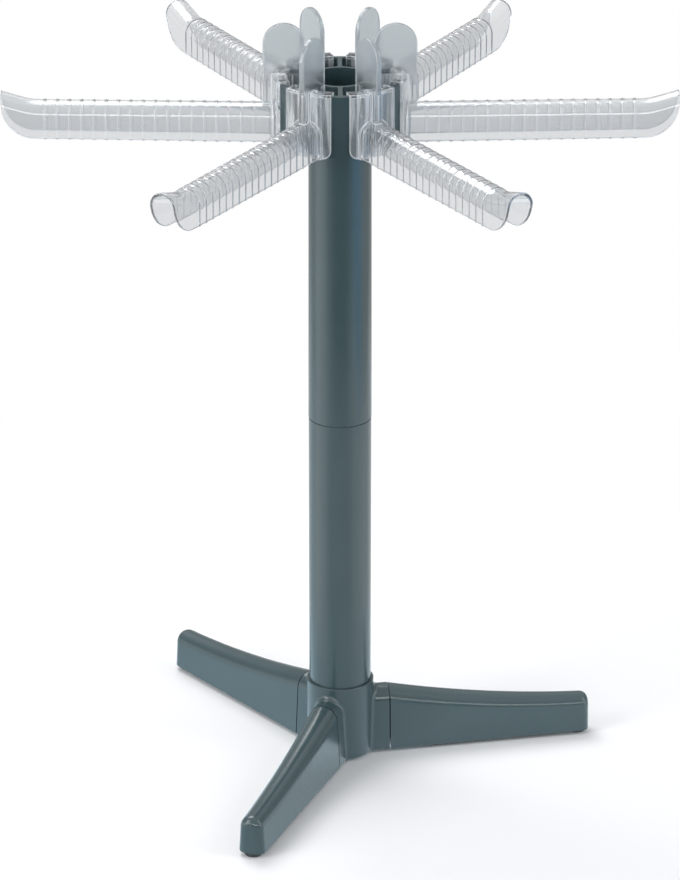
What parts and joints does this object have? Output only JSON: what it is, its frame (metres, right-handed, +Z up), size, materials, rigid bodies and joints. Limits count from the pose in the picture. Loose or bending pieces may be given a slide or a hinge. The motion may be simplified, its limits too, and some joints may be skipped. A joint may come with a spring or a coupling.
{
  "type": "pasta drying rack",
  "caption": "Free-standing drying rack: a round column on plug-in legs, with clear ribbed arms hooked round its head to hang fresh pasta on.",
  "frame": {"origin": "on the column's axis, in the plane of the feet", "axes": "+Z up along the column; +X along arm_1, the other arms follow every 60 degrees"},
  "size_m": [0.4, 0.3546, 0.4737],
  "materials": {
    "slate_plastic": "satin moulded plastic, slate grey-blue",
    "clear_plastic": "polished clear plastic",
    "foot_rubber": "plain moulded rubber, dark grey"
  },
  "bodies": {
    "base": {"base_hub": "slate_plastic"},
    "lower_column": {"lower_column": "slate_plastic"},
    "upper_column": {"upper_column": "slate_plastic"},
    "leg_right": {"leg_right": "slate_plastic", "foot_pad_right": "foot_rubber"},
    "leg_back": {"leg_back": "slate_plastic", "foot_pad_back": "foot_rubber"},
    "leg_front": {"leg_front": "slate_plastic", "foot_pad_front": "foot_rubber"},
    "arm_1": {"arm_1": "clear_plastic"},
    "arm_2": {"arm_2": "clear_plastic"},
    "arm_3": {"arm_3": "clear_plastic"},
    "arm_4": {"arm_4": "clear_plastic"},
    "arm_5": {"arm_5": "clear_plastic"},
    "arm_6": {"arm_6": "clear_plastic"}
  },
  "joints": [
    {"name": "leg_right_pull", "type": "slide", "parent": "base", "child": "leg_right", "axis": [0.9857, 0.1685, 0], "range_m": [0, 0.022]},
    {"name": "leg_back_pull", "type": "slide", "parent": "base", "child": "leg_back", "axis": [-0.6388, 0.7694, 0], "range_m": [0, 0.022]},
    {"name": "leg_front_pull", "type": "slide", "parent": "base", "child": "leg_front", "axis": [-0.3469, -0.9379, 0], "range_m": [0, 0.022]},
    {"name": "column_turn", "type": "hinge", "parent": "base", "child": "lower_column", "pos_m": [0, 0, 0.0052], "axis": [0, 0, 1], "continuous": true},
    {"name": "upper_column_lift", "type": "slide", "parent": "lower_column", "child": "upper_column", "axis": [0, 0, 1], "range_m": [0, 0.032]},
    {"name": "arm_1_lift", "type": "slide", "parent": "upper_column", "child": "arm_1", "axis": [0, 0, 1], "range_m": [0, 0.045]},
    {"name": "arm_2_lift", "type": "slide", "parent": "upper_column", "child": "arm_2", "axis": [0, 0, 1], "range_m": [0, 0.045]},
    {"name": "arm_3_lift", "type": "slide", "parent": "upper_column", "child": "arm_3", "axis": [0, 0, 1], "range_m": [0, 0.045]},
    {"name": "arm_4_lift", "type": "slide", "parent": "upper_column", "child": "arm_4", "axis": [0, 0, 1], "range_m": [0, 0.045]},
    {"name": "arm_5_lift", "type": "slide", "parent": "upper_column", "child": "arm_5", "axis": [0, 0, 1], "range_m": [0, 0.045]},
    {"name": "arm_6_lift", "type": "slide", "parent": "upper_column", "child": "arm_6", "axis": [0, 0, 1], "range_m": [0, 0.045]}
  ]
}
